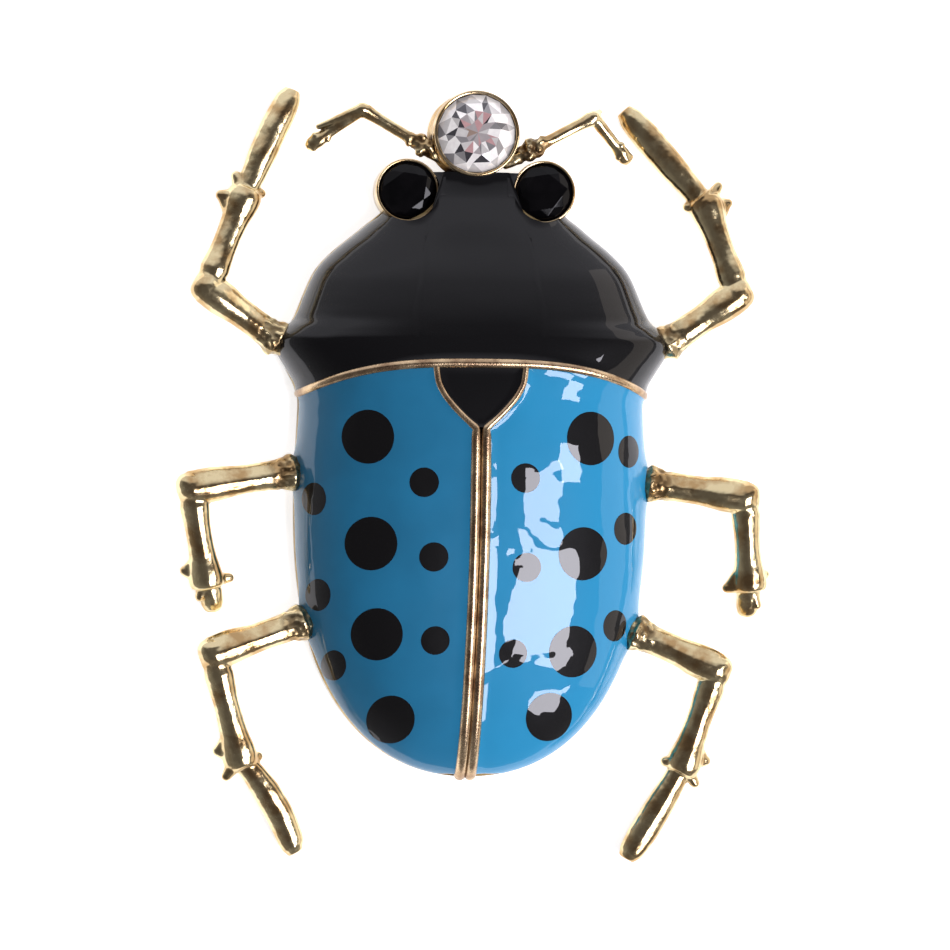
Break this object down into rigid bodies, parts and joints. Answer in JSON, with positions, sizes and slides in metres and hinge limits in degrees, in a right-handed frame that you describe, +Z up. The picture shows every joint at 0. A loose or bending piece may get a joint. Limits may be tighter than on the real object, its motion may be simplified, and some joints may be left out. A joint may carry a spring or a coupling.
{
  "type": "insect brooch",
  "caption": "Domed beetle brooch with enamelled wing cases and neck shield, cast metal legs and feelers, round spots and cut stones set in cups.",
  "frame": {"origin": "middle of the bounding box on the surface that the back rim rests on", "axes": "+Z up, away from the surface, through the enamel; +Y along the body towards the head; +X to the right as seen from above with the head up"},
  "size_m": [0.0484, 0.0625, 0.0082],
  "materials": {
    "antique_gold_metal": "polished pale gold plate with dark antique hollows",
    "black_enamel": "glossy black enamel",
    "blue_enamel": "glossy blue enamel, lighter towards the right",
    "clear_stone": "clear cut glass with a mirrored back",
    "jet_stone": "polished opaque black cut glass",
    "pin_metal": "plain plated steel"
  },
  "bodies": {
    "root": {"casting": "antique_gold_metal", "head_enamel": "black_enamel", "scutellum_enamel": "black_enamel", "wing_case_left": "blue_enamel", "wing_case_right": "blue_enamel", "spots_left": "black_enamel", "spots_right": "black_enamel", "crystal": "clear_stone", "eye_stone_left": "jet_stone", "eye_stone_right": "jet_stone", "pin_back": "pin_metal"}
  },
  "joints": []
}
